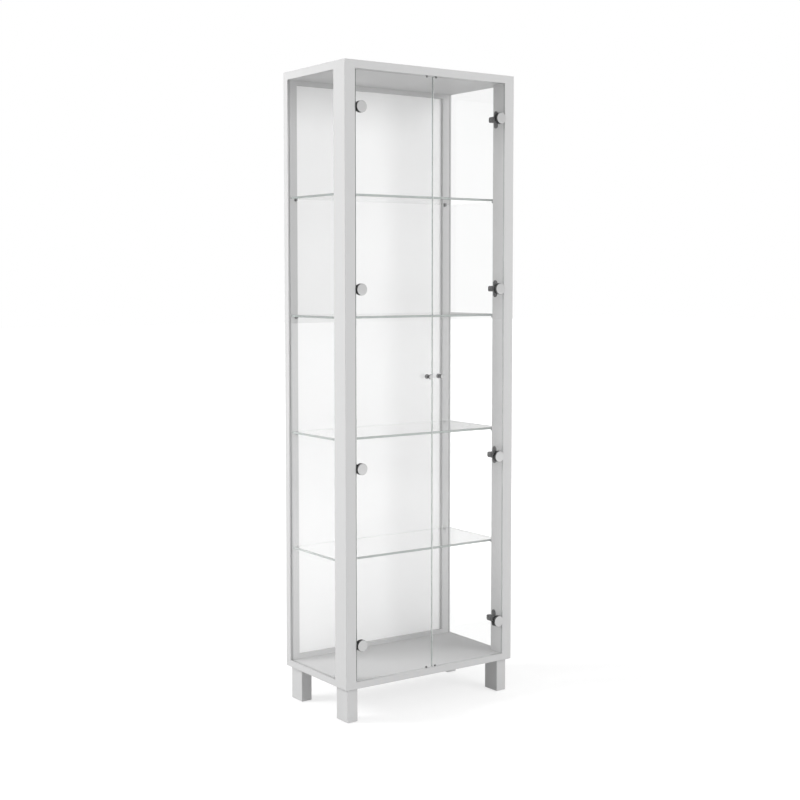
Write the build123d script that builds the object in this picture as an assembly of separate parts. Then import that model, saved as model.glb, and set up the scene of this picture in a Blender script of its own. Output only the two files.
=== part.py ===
from build123d import *
import math
import os

# Glass display cabinet on four legs: lacquered frame, glazed sides, two glass doors, four glass shelves.
# Millimetres, +Z up, front towards -Y, left door at -X.
# The origin is on the floor under the middle of the whole outline, knobs included.

os.makedirs("parts", exist_ok=True)

# Carcass
width = 580.0
depth = 320.0
height = 1800.0
top_thickness = 22.0
bottom_thickness = 19.0
post_width = 33.0
front_post_depth = 56.0
rear_post_depth = 22.0
edge_radius = 1.2
inner_edge_radius = 0.8

# Legs and what holds them
leg_height = 96.0
leg_inset = 11.0
glide_thickness = 2.0
glide_radius = 11.0
glide_stem_radius = 2.5
glide_stem_length = 12.0
bolt_radius = 3.0
bolt_in_leg = 32.0
insert_radius = 5.0
insert_depth = 13.0

# Dowels of the frame joints
dowel_radius = 4.0
dowel_in_board = 11.0
dowel_in_post = 16.0
dowel_end_margin = 14.0
rear_dowel_from_side = 20.0

# Back panel and its rails
rail_height = 13.0
panel_setback = 10.0
panel_thickness = 4.0
panel_in_groove = 5.0

# Side glass
side_glass_thickness = 4.0
side_glass_inset = 4.5
side_glass_in_groove = 5.0
groove_clearance = 0.25
groove_end_clearance = 0.5

# Shelves and their pins
shelf_count = 4
shelf_thickness = 6.0
shelf_gap = 2.0
glass_edge_chamfer = 0.4
pin_radius = 2.5
pin_in_post = 10.0
pin_out = 9.0
pin_from_side = 27.0
pin_collar_radius = 3.8
pin_collar_thickness = 1.0

# Doors
door_glass_thickness = 5.0
door_side_gap = 2.0
door_end_gap = 2.5
door_meeting_gap = 3.0

# Hinge layout in plan, measured from the post's inner face and from the front of the glass
hinge_count = 4
hinge_end_distance = 98.0
cup_from_post = 17.5
cup_pivot_from_post = 8.0
cup_pivot_behind = 10.5
arm_pivot_from_post = 25.0
arm_pivot_behind = 10.0

# Hinge cup, cap and gaskets
cup_radius = 13.0
cup_wall = 1.0
cup_hole_clearance = 0.1
cup_behind_glass = 9.0
cup_in_front = 5.5
flange_radius = 16.0
flange_thickness = 1.5
gasket_thickness = 0.3
gasket_radius = 15.5
cap_radius = 16.0
cap_projection = 7.0
cap_face = 1.0
cap_wall = 1.2
cap_boss_radius = 8.0
cap_edge_radius = 0.5

# Hinge links between the arm and the cup
pivot_pin_radius = 1.25
pivot_clearance = 0.06
link_eye_radius = 2.7
link_thickness = 1.5
link_side_clearance = 0.3
cup_slot_reach = 7.0
cup_slot_start = 6.5

# Hinge arm
tongue_radius = 2.5
tongue_half_height = 3.5
crank_behind = 17.5
crank_thickness = 3.0
arm_half_height = 8.0
arm_wall = 1.5
arm_from_post = 13.5
arm_end_behind = 57.0
arm_screw_behind = 45.0
arm_screw_radius = 2.0
arm_screw_head_radius = 3.6
arm_screw_head = 1.6

# Hinge mounting plate
plate_thickness = 2.5
plate_middle_behind = 41.5
plate_wing_width = 15.0
plate_wing_height = 49.0
plate_screw_spacing = 32.0
saddle_start_behind = 31.0
saddle_end_behind = 61.0
saddle_half_height = 6.2
plate_screw_radius = 1.75
plate_screw_length = 14.0
plate_screw_head_radius = 3.8
plate_screw_head = 2.0

# Knobs
knob_from_meeting = 20.0
knob_projection = 22.0
knob_base_radius = 6.5
knob_base_length = 4.0
knob_neck_radius = 4.2
knob_head_radius = 7.0
knob_head_length = 6.0
knob_edge_radius = 1.0
knob_screw_radius = 2.0
knob_screw_in_knob = 10.0
knob_screw_head_radius = 4.0
knob_screw_head = 2.4
knob_hole_clearance = 0.5
knob_washer_thickness = 0.8
knob_washer_radius = 5.5

# Door stops
stop_radius = 3.2
stop_height = 5.0
stop_from_meeting = 15.5
stop_clearance = 0.3
stop_edge_radius = 0.6

# Planes that the pieces share
front = -(depth - knob_projection) / 2
back = front + depth
side = width / 2
post_inner = side - post_width
inside_floor = leg_height + bottom_thickness
inside_top = height - top_thickness
front_post_back = front + front_post_depth
rear_post_front = back - rear_post_depth
door_bottom = inside_floor + door_end_gap
door_top = inside_top - door_end_gap
door_middle = (door_bottom + door_top) / 2
glass_back = door_glass_thickness
shelf_clear = (inside_top - inside_floor - shelf_count * shelf_thickness) / (shelf_count + 1)
shelf_undersides = [
    inside_floor + shelf_clear * (n + 1) + shelf_thickness * n for n in range(shelf_count)
]
hinge_first = door_bottom + hinge_end_distance
hinge_spacing = (door_top - door_bottom - 2 * hinge_end_distance) / (hinge_count - 1)
hinge_heights = [hinge_first + hinge_spacing * n for n in range(hinge_count)]
link_inner = tongue_half_height + link_side_clearance
link_outer = link_inner + link_thickness


def block(low, high):
    """A box between two opposite corners."""
    sizes = [b - a for a, b in zip(low, high)]
    middle = [(a + b) / 2 for a, b in zip(low, high)]
    return Pos(*middle) * Box(*sizes)


def rod_z(x, y, low, high, radius):
    """An upright round bar."""
    return Pos(x, y, (low + high) / 2) * Cylinder(radius, high - low)


def rod_y(x, z, low, high, radius):
    """A round bar from front to back."""
    return Pos(x, (low + high) / 2, z) * Rot(90, 0, 0) * Cylinder(radius, high - low)


def rod_x(y, z, low, high, radius):
    """A round bar from side to side."""
    return Pos((low + high) / 2, y, z) * Rot(0, 90, 0) * Cylinder(radius, high - low)


def across(solid):
    """The same solid on the other side of the cabinet's middle."""
    return mirror(solid, about=Plane.YZ)


def group(solids):
    """Separate solids under one name."""
    return Compound(children=list(solids))


def save(name, shape):
    export_step(shape, f"parts/{name}.step")


def save_pair(name, left_shape):
    """Write the left piece and its mirror image."""
    save(f"{name}_left", left_shape)
    save(f"{name}_right", across(left_shape))


def upright_edges(solid, places):
    """The solid's upright edges that stand at the given places in plan."""
    return [
        edge
        for edge in solid.edges().filter_by(Axis.Z)
        if any(
            abs(edge.center().X - x) < 0.01 and abs(edge.center().Y - y) < 0.01
            for x, y in places
        )
    ]


def from_post(u):
    """X of a place u to the right of the left post's inner face."""
    return -post_inner + u


def behind(v):
    """Y of a place v behind the front of the door glass."""
    return front + v


# Grooves for the side glass, left side
glass_outer = -side + side_glass_inset
glass_inner = glass_outer + side_glass_thickness
groove_low_x = glass_outer - groove_clearance
groove_high_x = glass_inner + groove_clearance
groove_depth = side_glass_in_groove + groove_end_clearance
glass_front = front_post_back - side_glass_in_groove
glass_rear = rear_post_front + side_glass_in_groove
left_groove = block(
    (groove_low_x, front_post_back - groove_depth, inside_floor - groove_depth),
    (groove_high_x, rear_post_front + groove_depth, inside_top + groove_depth),
)
side_glass = block(
    (glass_outer, glass_front, inside_floor - side_glass_in_groove),
    (glass_inner, glass_rear, inside_top + side_glass_in_groove),
)

# Dowel places in plan, left side
front_dowels = [
    (-side + post_width / 2, front + dowel_end_margin),
    (-side + post_width / 2, front_post_back - dowel_end_margin),
]
rear_dowels = [(-side + rear_dowel_from_side, (rear_post_front + back) / 2)]


def dowel_holes(places):
    """The holes of the dowels at both ends of a post, as solids to cut away."""
    cuts = []
    low_ends = (inside_floor - dowel_in_board, inside_floor + dowel_in_post)
    high_ends = (inside_top - dowel_in_post, inside_top + dowel_in_board)
    for x, y in places:
        cuts.append(rod_z(x, y, *low_ends, dowel_radius))
        cuts.append(rod_z(x, y, *high_ends, dowel_radius))
    return cuts


left_dowels = dowel_holes(front_dowels + rear_dowels)
dowels = left_dowels + [across(dowel) for dowel in left_dowels]
save("frame_dowels", group(dowels))

# Legs, their bolts and inserts, in plan
leg_places = {
    "leg_front_left": (-side + leg_inset, front + leg_inset),
    "leg_front_right": (side - leg_inset - post_width, front + leg_inset),
    "leg_rear_left": (-side + leg_inset, back - leg_inset - front_post_depth),
    "leg_rear_right": (side - leg_inset - post_width, back - leg_inset - front_post_depth),
}
bolt_places = [
    (x + post_width / 2, y + front_post_depth / 2) for x, y in leg_places.values()
]
inserts = [
    rod_z(x, y, leg_height, leg_height + insert_depth, insert_radius)
    - rod_z(x, y, leg_height, leg_height + insert_depth, bolt_radius)
    for x, y in bolt_places
]
bolts = [
    rod_z(x, y, leg_height - bolt_in_leg, leg_height + insert_depth, bolt_radius)
    for x, y in bolt_places
]
save("leg_inserts", group(inserts))
save("leg_bolts", group(bolts))

glides = []
for (name, (x, y)), (bolt_x, bolt_y) in zip(leg_places.items(), bolt_places):
    leg = block((x, y, glide_thickness), (x + post_width, y + front_post_depth, leg_height))
    leg = fillet(leg.edges().filter_by(Axis.Z), edge_radius)
    leg -= rod_z(bolt_x, bolt_y, leg_height - bolt_in_leg, leg_height, bolt_radius)
    stem_top = glide_thickness + glide_stem_length
    leg -= rod_z(bolt_x, bolt_y, glide_thickness, stem_top, glide_stem_radius)
    save(name, leg)
    glide = rod_z(bolt_x, bolt_y, 0, glide_thickness, glide_radius)
    glides.append(glide + rod_z(bolt_x, bolt_y, glide_thickness, stem_top, glide_stem_radius))
save("foot_glides", group(glides))


# Top and bottom boards
def carcass_board(low, high, outer_face):
    """A board over the whole footprint, with rounded corners and the glass and dowel cuts."""
    board = block((-side, front, low), (side, back, high))
    board = fillet(board.edges().filter_by(Axis.Z), edge_radius)
    rim = board.faces().sort_by(Axis.Z)[outer_face].edges()
    board = chamfer(rim, inner_edge_radius)
    for cut in [left_groove, across(left_groove)] + dowels:
        board -= cut
    return board


top_board = carcass_board(inside_top, height, -1)
save("top_board", top_board)

bottom_board = carcass_board(leg_height, inside_floor, 0)
for x, y in bolt_places:
    bottom_board -= rod_z(x, y, leg_height, leg_height + insert_depth, insert_radius)
save("bottom_board", bottom_board)


# Hinge pieces, at the left post
def hinge_plate(z):
    """The cross-shaped mounting plate with its saddle, on the post's inner face."""
    face_x = from_post(0)
    wing_y = behind(plate_middle_behind)
    half_wing = plate_wing_height / 2 - plate_wing_width / 2
    low_y = wing_y - plate_wing_width / 2
    high_y = wing_y + plate_wing_width / 2
    top_x = face_x + plate_thickness
    plate = block((face_x, low_y, z - half_wing), (top_x, high_y, z + half_wing))
    for end in (-half_wing, half_wing):
        plate += rod_x(wing_y, z + end, face_x, top_x, plate_wing_width / 2)
    saddle_low = behind(saddle_start_behind)
    saddle_high = behind(saddle_end_behind)
    web_x = from_post(arm_from_post - arm_wall)
    plate += block(
        (face_x, saddle_low, z - saddle_half_height),
        (web_x, saddle_high, z + saddle_half_height),
    )
    for cut in hinge_plate_screws(z):
        plate -= cut
    return plate - arm_screw(z)


def hinge_plate_screws(z):
    """The two countersunk screws that hold the mounting plate to the post."""
    screws = []
    top_x = from_post(plate_thickness)
    tip_x = top_x - plate_screw_length
    for end in (-plate_screw_spacing / 2, plate_screw_spacing / 2):
        y = behind(plate_middle_behind)
        shank = rod_x(y, z + end, tip_x, top_x, plate_screw_radius)
        head = (
            Pos(top_x - plate_screw_head / 2, y, z + end)
            * Rot(0, 90, 0)
            * Cone(plate_screw_radius, plate_screw_head_radius, plate_screw_head)
        )
        screws.append(shank + head)
    return screws


def arm_screw(z):
    """The screw that clamps the arm on the saddle."""
    y = behind(arm_screw_behind)
    web_top = from_post(arm_from_post)
    shank = rod_x(y, z, from_post(plate_thickness), web_top, arm_screw_radius)
    return shank + rod_x(y, z, web_top, web_top + arm_screw_head, arm_screw_head_radius)


def pivot_pin(u, v, z, half_length, radius):
    """An upright pivot pin of a hinge."""
    return rod_z(from_post(u), behind(v), z - half_length, z + half_length, radius)


def hinge_arm(z):
    """The channel over the saddle, its crank and the tongue that reaches into the cup."""
    web_top = from_post(arm_from_post)
    web_low = web_top - arm_wall
    crank_front = behind(crank_behind)
    crank_back = crank_front + crank_thickness
    end_y = behind(arm_end_behind)
    arm = block(
        (web_low, crank_front, z - arm_half_height), (web_top, end_y, z + arm_half_height)
    )
    for sign in (-1, 1):
        flange = sorted((sign * arm_half_height, sign * (arm_half_height - arm_wall)))
        arm += block(
            (from_post(plate_thickness), crank_front, z + flange[0]),
            (web_top, end_y, z + flange[1]),
        )
    tongue_x = from_post(arm_pivot_from_post)
    tongue_y = behind(arm_pivot_behind)
    arm += block(
        (web_low, crank_front, z - tongue_half_height),
        (tongue_x + tongue_radius, crank_back, z + tongue_half_height),
    )
    arm += block(
        (tongue_x - tongue_radius, tongue_y, z - tongue_half_height),
        (tongue_x + tongue_radius, crank_back, z + tongue_half_height),
    )
    arm += rod_z(tongue_x, tongue_y, z - tongue_half_height, z + tongue_half_height, tongue_radius)
    arm -= pivot_pin(arm_pivot_from_post, arm_pivot_behind, z, link_outer, pivot_pin_radius)
    return arm - arm_screw(z)


def hinge_arm_pin(z):
    return pivot_pin(arm_pivot_from_post, arm_pivot_behind, z, link_outer, pivot_pin_radius)


def hinge_cup_pin(z):
    """The pin across the cup, with its ends in the cup's wall."""
    off_middle = cup_from_post - cup_pivot_from_post
    half_length = math.sqrt((cup_radius - cup_wall / 2) ** 2 - off_middle**2)
    return pivot_pin(cup_pivot_from_post, cup_pivot_behind, z, half_length, pivot_pin_radius)


def hinge_links(z):
    """Two cheeks, one each side of the tongue, from the arm's pin to the cup's pin."""
    ends = [(cup_pivot_from_post, cup_pivot_behind), (arm_pivot_from_post, arm_pivot_behind)]
    (u0, v0), (u1, v1) = ends
    length = math.hypot(u1 - u0, v1 - v0)
    turn = math.degrees(math.atan2(v1 - v0, u1 - u0))
    cheeks = []
    for middle in (-(link_inner + link_outer) / 2, (link_inner + link_outer) / 2):
        place = Pos(from_post((u0 + u1) / 2), behind((v0 + v1) / 2), z + middle) * Rot(0, 0, turn)
        cheek = place * Box(length, 2 * link_eye_radius, link_thickness)
        for u, v in ends:
            cheek += pivot_eye(u, v, z + middle, link_eye_radius)
        for u, v in ends:
            cheek -= pivot_eye(u, v, z + middle, pivot_pin_radius + pivot_clearance)
        cheeks.append(cheek)
    return cheeks


def pivot_eye(u, v, z, radius):
    """A disc as thick as a link, at a pivot."""
    half = link_thickness / 2
    return rod_z(from_post(u), behind(v), z - half, z + half, radius)


def hinge_cup(z):
    """The cup through the glass, open at the back, with a slot for the links and a flange."""
    x = from_post(cup_from_post)
    bottom = behind(-cup_in_front)
    rim = behind(glass_back + cup_behind_glass)
    flange_front = behind(glass_back + gasket_thickness)
    cup = rod_y(x, z, bottom, rim, cup_radius)
    cup += rod_y(x, z, flange_front, flange_front + flange_thickness, flange_radius)
    cup -= rod_y(x, z, bottom + cup_wall, rim, cup_radius - cup_wall)
    cup -= block(
        (x - flange_radius, behind(cup_slot_start), z - cup_slot_reach),
        (x - cup_radius / 2, rim, z + cup_slot_reach),
    )
    return cup - hinge_cup_pin(z)


def hinge_gaskets(z):
    """The two thin rings that keep metal off the glass."""
    x = from_post(cup_from_post)
    rings = []
    for low in (behind(-gasket_thickness), behind(glass_back)):
        high = low + gasket_thickness
        ring = rod_y(x, z, low, high, gasket_radius)
        rings.append(ring - rod_y(x, z, low, high, cup_radius + cup_hole_clearance))
    return rings


def hinge_cap(z):
    """The round cover on the outside of the glass, with a boss that meets the cup."""
    x = from_post(cup_from_post)
    face = behind(-cap_projection)
    seat = behind(-gasket_thickness)
    cap = rod_y(x, z, face, seat, cap_radius)
    cap = fillet(cap.edges().sort_by(Axis.Y)[0], cap_edge_radius)
    cap -= rod_y(x, z, face + cap_face, seat, cap_radius - cap_wall)
    return cap + rod_y(x, z, face + cap_face, behind(-cup_in_front), cap_boss_radius)


plate_screws = [screw for z in hinge_heights for screw in hinge_plate_screws(z)]
save_pair("hinge_plates", group(hinge_plate(z) for z in hinge_heights))
save_pair("hinge_plate_screws", group(plate_screws))
save_pair("hinge_arms", group(hinge_arm(z) for z in hinge_heights))
save_pair("hinge_arm_screws", group(arm_screw(z) for z in hinge_heights))
save_pair("hinge_arm_pins", group(hinge_arm_pin(z) for z in hinge_heights))
save_pair("hinge_links", group(cheek for z in hinge_heights for cheek in hinge_links(z)))
save_pair("hinge_cups", group(hinge_cup(z) for z in hinge_heights))
save_pair("hinge_cup_pins", group(hinge_cup_pin(z) for z in hinge_heights))
save_pair("hinge_gaskets", group(ring for z in hinge_heights for ring in hinge_gaskets(z)))
save_pair("hinge_caps", group(hinge_cap(z) for z in hinge_heights))

# Shelf pins, left side: out of the back of the front post and the front of the rear post
pin_x = -side + pin_from_side
pin_heights = [underside - pin_radius for underside in shelf_undersides]


def shelf_pin(z, seat, outwards):
    """A round pin with a collar, from a post's face at seat, pointing outwards along Y."""
    low, high = sorted((seat - outwards * pin_in_post, seat + outwards * pin_out))
    collar_low, collar_high = sorted((seat, seat + outwards * pin_collar_thickness))
    pin = rod_y(pin_x, z, low, high, pin_radius)
    return pin + rod_y(pin_x, z, collar_low, collar_high, pin_collar_radius)


front_pins = [shelf_pin(z, front_post_back, 1) for z in pin_heights]
rear_pins = [shelf_pin(z, rear_post_front, -1) for z in pin_heights]
save("shelf_pins_front", group(front_pins + [across(pin) for pin in front_pins]))
save("shelf_pins_rear", group(rear_pins + [across(pin) for pin in rear_pins]))

# Posts
front_post = block((-side, front, inside_floor), (-post_inner, front_post_back, inside_top))
front_post = fillet(upright_edges(front_post, [(-side, front)]), edge_radius)
front_post = fillet(
    upright_edges(front_post, [(-post_inner, front), (-post_inner, front_post_back)]),
    inner_edge_radius,
)
for cut in [left_groove] + dowel_holes(front_dowels) + front_pins + plate_screws:
    front_post -= cut
save_pair("front_post", front_post)

panel_front = rear_post_front + panel_setback
panel_edge = post_inner + panel_in_groove
panel_groove = block(
    (
        -panel_edge - groove_end_clearance,
        panel_front - groove_clearance,
        inside_floor + rail_height - panel_in_groove - groove_end_clearance,
    ),
    (
        panel_edge + groove_end_clearance,
        panel_front + panel_thickness + groove_clearance,
        inside_top - rail_height + panel_in_groove + groove_end_clearance,
    ),
)
rear_post = block((-side, rear_post_front, inside_floor), (-post_inner, back, inside_top))
rear_post = fillet(upright_edges(rear_post, [(-side, back)]), edge_radius)
for cut in [left_groove, panel_groove] + dowel_holes(rear_dowels) + rear_pins:
    rear_post -= cut
save_pair("rear_post", rear_post)



def rear_rail(low, high):
    """A strip between the rear posts, grooved for the back panel."""
    return block((-post_inner, rear_post_front, low), (post_inner, back, high)) - panel_groove


# Rails above and below the back panel, and the panel in their grooves
save("rear_top_rail", rear_rail(inside_top - rail_height, inside_top))
save("rear_bottom_rail", rear_rail(inside_floor, inside_floor + rail_height))
save(
    "back_panel",
    block(
        (-panel_edge, panel_front, inside_floor + rail_height - panel_in_groove),
        (panel_edge, panel_front + panel_thickness, inside_top - rail_height + panel_in_groove),
    ),
)

# Side glass and shelves
save_pair("side_glass", side_glass)
shelf_side = -glass_inner - shelf_gap
for n, underside in enumerate(shelf_undersides, start=1):
    shelf = block(
        (-shelf_side, front_post_back + shelf_gap, underside),
        (shelf_side, rear_post_front - shelf_gap, underside + shelf_thickness),
    )
    save(f"shelf_{n}", chamfer(shelf.edges(), glass_edge_chamfer))

# Door glass with its holes, and the knob with its screw and washers
knob_x = -knob_from_meeting
knob_z = door_middle
door_glass = block(
    (from_post(door_side_gap), behind(0), door_bottom),
    (-door_meeting_gap / 2, behind(glass_back), door_top),
)
door_glass = chamfer(door_glass.edges(), glass_edge_chamfer)
for z in hinge_heights:
    door_glass -= rod_y(
        from_post(cup_from_post), z, behind(0), behind(glass_back), cup_radius + cup_hole_clearance
    )
knob_hole_radius = knob_screw_radius + knob_hole_clearance
door_glass -= rod_y(knob_x, knob_z, behind(0), behind(glass_back), knob_hole_radius)
save_pair("door_glass", door_glass)

knob_base_end = behind(-knob_washer_thickness)
knob_end = behind(-knob_projection)
head_start = knob_end + knob_head_length
base_end = knob_base_end - knob_base_length
knob = rod_y(knob_x, knob_z, base_end, knob_base_end, knob_base_radius)
knob += rod_y(knob_x, knob_z, head_start, base_end, knob_neck_radius)
knob += rod_y(knob_x, knob_z, knob_end, head_start, knob_head_radius)
knob = fillet(knob.edges().filter_by(GeomType.CIRCLE).sort_by(Axis.Y)[0], knob_edge_radius)
knob_screw_tip = knob_base_end - knob_screw_in_knob
knob -= rod_y(knob_x, knob_z, knob_screw_tip, knob_base_end, knob_screw_radius)
save_pair("knob", knob)

screw_seat = behind(glass_back + knob_washer_thickness)
knob_screw = rod_y(knob_x, knob_z, knob_screw_tip, screw_seat, knob_screw_radius)
screw_end = screw_seat + knob_screw_head
knob_screw += rod_y(knob_x, knob_z, screw_seat, screw_end, knob_screw_head_radius)
save_pair("knob_screw", knob_screw)

washers = []
for low in (behind(-knob_washer_thickness), behind(glass_back)):
    high = low + knob_washer_thickness
    washer = rod_y(knob_x, knob_z, low, high, knob_washer_radius)
    washers.append(washer - rod_y(knob_x, knob_z, low, high, knob_screw_radius))
save_pair("knob_washers", group(washers))

# Stops on the boards behind the corners of the door glass
stop_y = behind(glass_back + stop_clearance + stop_radius)


def door_stop(low, high, tip):
    """A small round stop; tip picks its free end."""
    stop = rod_z(-stop_from_meeting, stop_y, low, high, stop_radius)
    return fillet(stop.edges().filter_by(GeomType.CIRCLE).sort_by(Axis.Z)[tip], stop_edge_radius)


bottom_stop = door_stop(inside_floor, inside_floor + stop_height, -1)
top_stop = door_stop(inside_top - stop_height, inside_top, 0)
save("door_stops_bottom", group([bottom_stop, across(bottom_stop)]))
save("door_stops_top", group([top_stop, across(top_stop)]))
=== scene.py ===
"""Dresses the glass display cabinet: finishes on every piece, turned hardware, studio and camera.

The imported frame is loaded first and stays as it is. Sizes are in metres.
"""

import logging
import math
from dataclasses import dataclass, field
from enum import Enum
from typing import Callable, Iterable, Sequence

import bmesh
import bpy
from mathutils import Matrix, Vector


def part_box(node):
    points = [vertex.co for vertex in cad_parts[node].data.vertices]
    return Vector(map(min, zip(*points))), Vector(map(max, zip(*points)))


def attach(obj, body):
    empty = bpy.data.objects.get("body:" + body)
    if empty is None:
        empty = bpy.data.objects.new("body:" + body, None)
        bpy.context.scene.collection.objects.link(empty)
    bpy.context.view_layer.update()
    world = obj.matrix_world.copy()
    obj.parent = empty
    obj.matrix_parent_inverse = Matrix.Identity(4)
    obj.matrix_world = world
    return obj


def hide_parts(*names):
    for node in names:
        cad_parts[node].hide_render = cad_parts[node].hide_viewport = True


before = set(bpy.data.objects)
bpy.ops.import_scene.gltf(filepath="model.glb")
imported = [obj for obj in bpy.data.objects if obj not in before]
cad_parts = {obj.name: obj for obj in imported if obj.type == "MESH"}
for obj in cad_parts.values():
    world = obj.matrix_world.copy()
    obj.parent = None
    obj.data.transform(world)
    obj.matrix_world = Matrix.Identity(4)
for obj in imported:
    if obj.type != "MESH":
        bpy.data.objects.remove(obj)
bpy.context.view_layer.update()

log = logging.getLogger("display_cabinet")

Colour = tuple[float, float, float, float]
Point = tuple[float, float]

MM = 0.001
HINGES_PER_DOOR = 4
SHELVES = 4
RADIUS_ATTRIBUTE = "turn_radius"
# Where the painted shade on a turned piece's side wall gives way to its bright end face.
SHADED_WALL_TO_FACE = (0.6, 0.95)
NARROW_BELOW = 0.5
MERGE_DISTANCE = 1e-7
SCREW_SMOOTH_ANGLE = 25.0


class Side(Enum):
    """The two mirrored halves of the cabinet."""

    LEFT = "left"
    RIGHT = "right"

    @property
    def door(self) -> str:
        """The body that this side's door is."""
        return f"{self.value}_door"

    @property
    def inward(self) -> "Facing":
        """Which way a piece on this side's post points into the cabinet."""
        return Facing.RIGHT if self is Side.LEFT else Facing.LEFT

    def inner_x(self, low: Vector, high: Vector) -> float:
        """Where a box on this side's post ends towards the cabinet's middle."""
        return high.x if self is Side.LEFT else low.x


class Facing(Enum):
    """Which way a turned piece points, from its seat to its tip."""

    FRONT = (0.0, -1.0, 0.0)
    BACK = (0.0, 1.0, 0.0)
    UP = (0.0, 0.0, 1.0)
    DOWN = (0.0, 0.0, -1.0)
    LEFT = (-1.0, 0.0, 0.0)
    RIGHT = (1.0, 0.0, 0.0)

    @property
    def vector(self) -> Vector:
        """The direction as a vector."""
        return Vector(self.value)


def grey(level: float) -> Colour:
    """A neutral colour of that linear level."""
    return (level, level, level, 1.0)


class NodeSheet:
    """Adds and joins the nodes of one material or node group."""

    def __init__(self, tree: bpy.types.NodeTree) -> None:
        """Starts on an empty tree."""
        self.tree = tree
        tree.nodes.clear()

    def add(self, kind: str, inputs: dict | None = None, **settings: object) -> bpy.types.Node:
        """Adds one node.

        Args:
            kind: The node's type, without the word ShaderNode.
            inputs: Values or output sockets, by input name or number.
            settings: Attributes of the node itself.

        Returns:
            The new node.
        """
        name = kind if kind.startswith("NodeGroup") else f"ShaderNode{kind}"
        node = self.tree.nodes.new(name)
        for key, value in settings.items():
            setattr(node, key, value)
        for key, value in (inputs or {}).items():
            if isinstance(value, bpy.types.NodeSocket):
                self.tree.links.new(value, node.inputs[key])
            else:
                node.inputs[key].default_value = value
        return node

    def math(self, operation: str, first: object, second: object = 0.0) -> bpy.types.NodeSocket:
        """Adds a math node and returns its output."""
        node = self.add("Math", {0: first, 1: second}, operation=operation)
        return node.outputs[0]

    def mix(self, factor: object, first: object, second: object) -> bpy.types.NodeSocket:
        """Adds a colour mix and returns its output."""
        node = self.add("Mix", data_type="RGBA")
        for index, value in ((0, factor), (6, first), (7, second)):
            if isinstance(value, bpy.types.NodeSocket):
                self.tree.links.new(value, node.inputs[index])
            else:
                node.inputs[index].default_value = value
        return node.outputs[2]

    def stretch(self, value: object, low: float, high: float) -> bpy.types.NodeSocket:
        """Maps a value from 0..1 to low..high and returns it."""
        node = self.add("MapRange", {"Value": value, "To Min": low, "To Max": high})
        return node.outputs[0]

    def ease(self, value: object, span: Point, ends: Point = (0.0, 1.0)) -> bpy.types.NodeSocket:
        """Maps a value smoothly.

        Args:
            value: What is mapped.
            span: Where the change begins and where it is complete.
            ends: The result before and after the change.

        Returns:
            The mapped value.
        """
        node = self.add(
            "MapRange",
            {
                "Value": value,
                "From Min": span[0],
                "From Max": span[1],
                "To Min": ends[0],
                "To Max": ends[1],
            },
            interpolation_type="SMOOTHSTEP",
        )
        return node.outputs[0]

    def noise(self, place: object, scale: object, detail: float) -> bpy.types.NodeSocket:
        """Adds a noise texture and returns its level."""
        node = self.add("TexNoise", {"Vector": place, "Scale": scale, "Detail": detail})
        return node.outputs["Fac"]

    def bump(self, height: object, strength: float, distance: float) -> bpy.types.NodeSocket:
        """Adds a bump node and returns its normal."""
        node = self.add("Bump", {"Height": height, "Strength": strength, "Distance": distance})
        return node.outputs["Normal"]

    def facing(self, axis: object) -> bpy.types.NodeSocket:
        """How squarely the surface faces along an axis, either way: 1 when square to it."""
        normal = self.add("TexCoord").outputs["Normal"]
        dot = self.add("VectorMath", {0: normal, 1: axis}, operation="DOT_PRODUCT")
        return self.math("ABSOLUTE", dot.outputs["Value"])


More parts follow.
